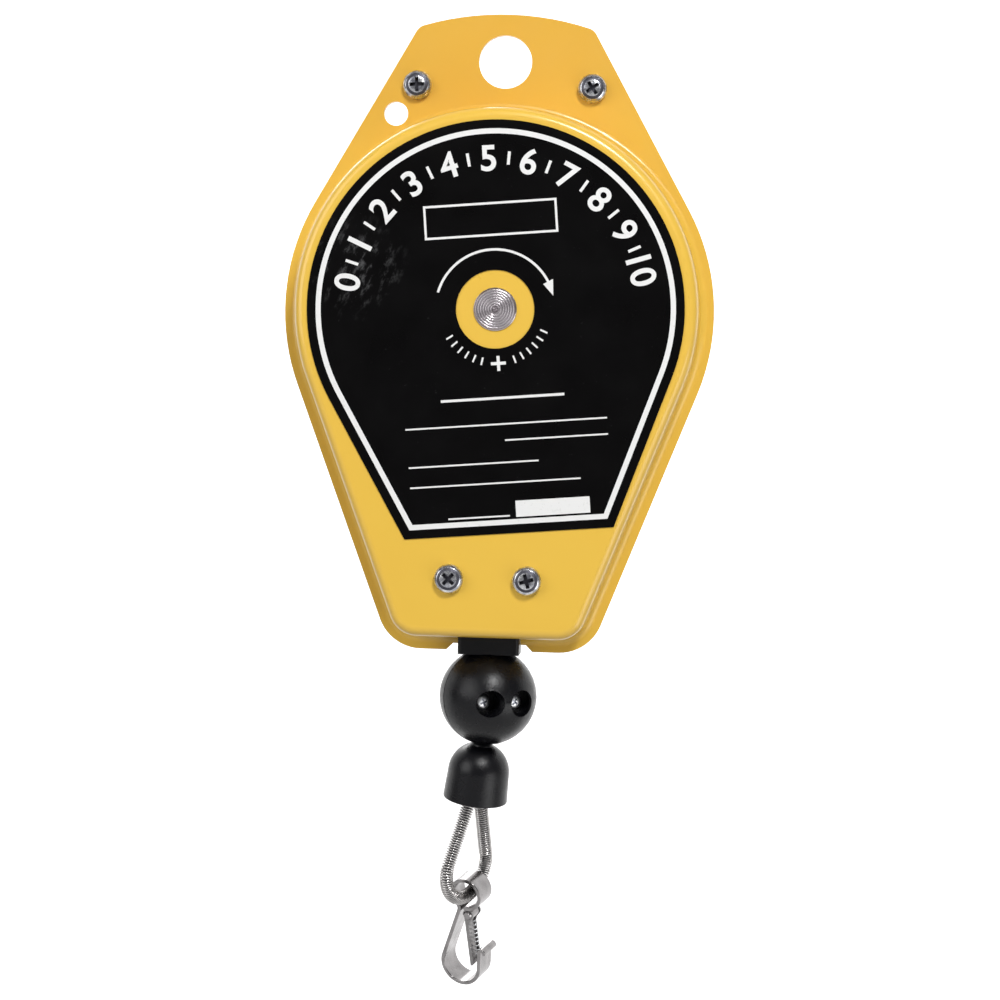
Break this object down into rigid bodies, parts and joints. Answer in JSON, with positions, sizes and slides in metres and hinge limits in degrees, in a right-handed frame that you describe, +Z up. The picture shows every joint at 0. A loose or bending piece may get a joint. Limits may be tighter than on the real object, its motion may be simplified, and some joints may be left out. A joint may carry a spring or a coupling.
{
  "type": "spring balancer",
  "caption": "Spring balancer for hand tools: two pressed shells round a sprung rope drum, a wire rope with ball stop, and a snap hook on a guarded loop.",
  "frame": {"origin": "centre of the hanging hole, in the joint plane of the two shells", "axes": "+Z up, -Y towards the label side, +X to the right as the label is read"},
  "size_m": [0.1346, 0.057, 0.3093],
  "materials": {
    "paint": "glossy yellow-orange enamel",
    "label": "glossy black print on thin sheet",
    "zinc": "bright zinc",
    "turned_steel": "turned steel",
    "black_plastic": "satin black, grained",
    "drum_plastic": "matte grey",
    "bronze": "sintered bronze",
    "spring_steel": "blued spring steel",
    "wire_rope": "stranded galvanised steel",
    "ferrule_aluminium": "pressed aluminium",
    "bright_steel": "bright nickel-plated steel"
  },
  "bodies": {
    "housing": {"front_cover": "paint", "rear_cover": "paint", "label_plate": "label", "top_screws": "zinc", "top_nuts": "zinc", "bottom_screws": "zinc", "bottom_nuts": "zinc", "spacer_tubes": "zinc", "rope_guide": "black_plastic", "pawl_pin": "zinc", "pawl_spring": "spring_steel", "rope_inner": "wire_rope"},
    "arbor": {"arbor": "turned_steel", "ratchet_wheel": "zinc", "arbor_nut": "zinc", "drum_circlip": "spring_steel"},
    "drum": {"rope_drum": "drum_plastic", "drum_cover": "zinc", "front_bush": "bronze", "rear_bush": "bronze", "drum_cover_screws": "zinc", "mainspring": "spring_steel", "spring_post": "turned_steel", "rope_wound": "wire_rope", "rope_anchor": "zinc"},
    "pawl": {"pawl": "zinc"},
    "rope_end": {"rope_run": "wire_rope", "rope_tail": "wire_rope", "ball_front": "black_plastic", "ball_rear": "black_plastic", "ball_screws": "zinc", "ball_nuts": "zinc", "rope_cap": "black_plastic", "rope_ferrule": "ferrule_aluminium", "rope_loop": "wire_rope", "spring_guard": "bright_steel"},
    "hook": {"hook_strip": "bright_steel", "gate_rivet": "bright_steel"},
    "gate": {"hook_gate": "bright_steel", "gate_spring": "bright_steel"}
  },
  "joints": [
    {"name": "rope_pull", "type": "slide", "parent": "housing", "child": "rope_end", "axis": [0, 0, -1], "range_m": [0, 1.6], "stiffness_N_per_m": 6.66, "springref_m": -2.2, "deforming": ["rope_run"]},
    {"name": "drum_spin", "type": "hinge", "parent": "housing", "child": "drum", "pos_m": [0, 0, -0.078], "axis": [0, -1, 0], "range_deg": [0, 2084], "deforming": ["mainspring"]},
    {"name": "tension_adjust", "type": "hinge", "parent": "housing", "child": "arbor", "pos_m": [0, 0, -0.078], "axis": [0, 1, 0], "range_deg": [0, 2880]},
    {"name": "pawl_release", "type": "hinge", "parent": "housing", "child": "pawl", "pos_m": [-0.02, 0.0218, -0.0575], "axis": [0, -1, 0], "range_deg": [0, 16], "stiffness_Nm_per_rad": 0.02, "springref_deg": -28.65, "deforming": ["pawl_spring"]},
    {"name": "hook_swing", "type": "hinge", "parent": "rope_end", "child": "hook", "pos_m": [-0.00458, 0.01291, -0.26243], "axis": [0.4324, 0.8472, 0.3087], "range_deg": [-90, 90]},
    {"name": "gate_open", "type": "hinge", "parent": "hook", "child": "gate", "pos_m": [-0.00423, 0.01543, -0.26983], "axis": [0.4324, 0.8472, 0.3087], "range_deg": [0, 24], "stiffness_Nm_per_rad": 0.002, "springref_deg": -45.84}
  ],
  "couplings": [
    {"joint": "drum_spin", "follows": "rope_pull", "rad_per_m": 22.727}
  ]
}
